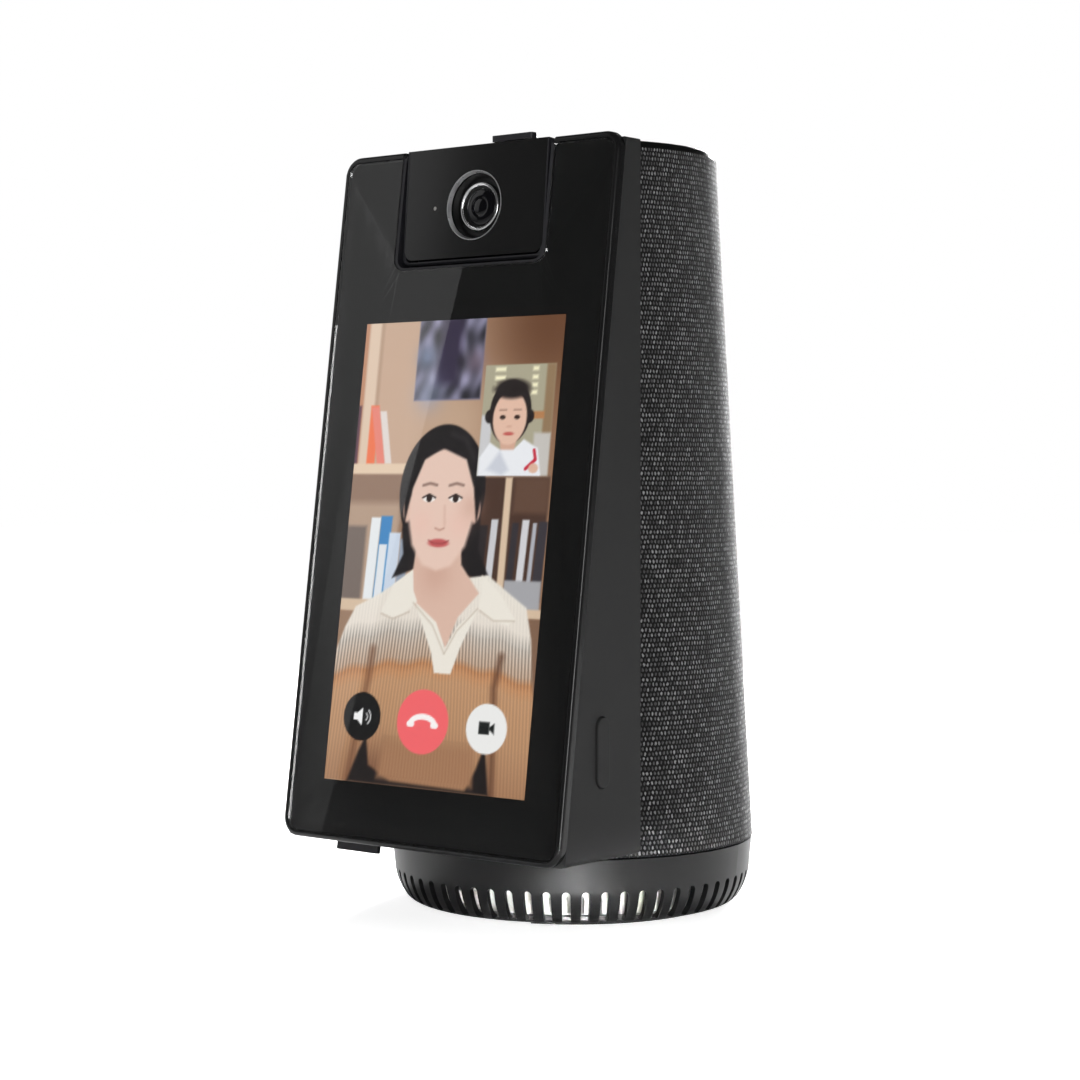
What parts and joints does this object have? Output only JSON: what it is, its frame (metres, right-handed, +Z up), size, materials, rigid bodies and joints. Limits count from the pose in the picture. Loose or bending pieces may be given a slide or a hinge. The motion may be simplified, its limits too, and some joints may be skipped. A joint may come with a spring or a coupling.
{
  "type": "smart home hub",
  "caption": "Portrait smart home hub: slanted glass display with a tilting camera on a fabric-clad speaker column that turns on a round vented base.",
  "frame": {"origin": "on the turning axis of the column, in the plane that the rubber feet stand on", "axes": "+Z up along the turning axis, -Y towards the display's front, +X towards the side button"},
  "size_m": [0.1252, 0.1458, 0.2595],
  "materials": {
    "satin_black": "satin",
    "black_plastic": "matte",
    "matte_black": "fine matte",
    "gloss_black": "polished",
    "black_print": "printed",
    "black_rubber": "matte",
    "steel": "plain",
    "iron": "plain",
    "aluminium": "satin",
    "grey_plastic": "matte",
    "white_plastic": "matte",
    "green_board": "satin",
    "charcoal_fabric": "woven",
    "clear_glass": "polished",
    "lens_glass": "coated",
    "light_pipe": "polished",
    "screen": "lit display"
  },
  "bodies": {
    "base": {"base_shell": "satin_black", "base_deck": "black_plastic", "bottom_plate": "black_plastic", "rubber_feet": "black_rubber", "base_screws": "steel", "vent_baffle": "grey_plastic", "ballast_ring": "iron", "power_board": "green_board", "power_socket": "black_plastic", "lower_race": "steel", "bearing_balls": "steel", "sun_gear": "white_plastic", "hub_nut": "steel", "turn_cable": "black_rubber"},
    "column": {"turntable": "black_plastic", "upper_race": "steel", "pan_motor": "steel", "motor_bracket": "steel", "column_frame": "black_plastic", "fabric_sleeve": "charcoal_fabric", "top_cap": "satin_black", "housing_shell": "matte_black", "front_rim": "satin_black", "cover_glass": "clear_glass", "bezel_mask": "black_print", "adhesive_frame": "black_rubber", "display_panel": "screen", "backlight_tray": "steel", "bay_liner": "satin_black", "button_board": "green_board", "label_guide": "black_plastic", "main_board": "green_board", "shield_cans": "steel", "heat_sink": "aluminium", "speaker_box": "black_plastic", "speaker_basket": "steel", "speaker_cone": "grey_plastic", "speaker_surround": "black_rubber", "speaker_magnet": "iron", "passive_radiator": "black_rubber", "housing_screws": "steel", "tilt_motor": "steel", "tilt_bracket": "steel"},
    "pan_drive": {"pan_pinion": "white_plastic", "pan_motor_shaft": "steel"},
    "camera_head": {"head_shell": "satin_black", "camera_face": "gloss_black", "lens_cup": "satin_black", "lens_ring": "aluminium", "lens_barrel": "satin_black", "lens_glass": "lens_glass", "camera_board": "green_board", "status_led": "light_pipe", "tilt_pins": "steel", "tilt_gear": "white_plastic"},
    "tilt_drive": {"tilt_pinion": "white_plastic"},
    "privacy_slider": {"privacy_slider": "satin_black"},
    "side_button": {"side_button": "matte_black"},
    "label_tab": {"label_tab": "satin_black"}
  },
  "joints": [
    {"name": "pan", "type": "hinge", "parent": "base", "child": "column", "pos_m": [0, 0, 0.026], "axis": [0, 0, 1], "range_deg": [-170, 170]},
    {"name": "pan_pinion_spin", "type": "hinge", "parent": "column", "child": "pan_drive", "pos_m": [-0.02128, 0.02128, 0.033], "axis": [0, 0, 1], "range_deg": [-680, 680]},
    {"name": "camera_tilt", "type": "hinge", "parent": "column", "child": "camera_head", "pos_m": [0, -0.04787, 0.23656], "axis": [1, 0, 0], "range_deg": [-8, 8]},
    {"name": "tilt_pinion_spin", "type": "hinge", "parent": "column", "child": "tilt_drive", "pos_m": [-0.035, -0.04921, 0.22695], "axis": [1, 0, 0], "range_deg": [-24, 24]},
    {"name": "privacy_slide", "type": "slide", "parent": "camera_head", "child": "privacy_slider", "axis": [1, 0, 0], "range_m": [-0.0204, 0]},
    {"name": "button_press", "type": "slide", "parent": "column", "child": "side_button", "axis": [-1, 0, 0], "range_m": [0, 0.0005], "stiffness_N_per_m": 1200},
    {"name": "label_pull", "type": "slide", "parent": "column", "child": "label_tab", "axis": [0, -0.138, -0.9904], "range_m": [0, 0.02]}
  ],
  "couplings": [
    {"joint": "pan_pinion_spin", "follows": "pan", "ratio": 4},
    {"joint": "tilt_pinion_spin", "follows": "camera_tilt", "ratio": -3}
  ]
}
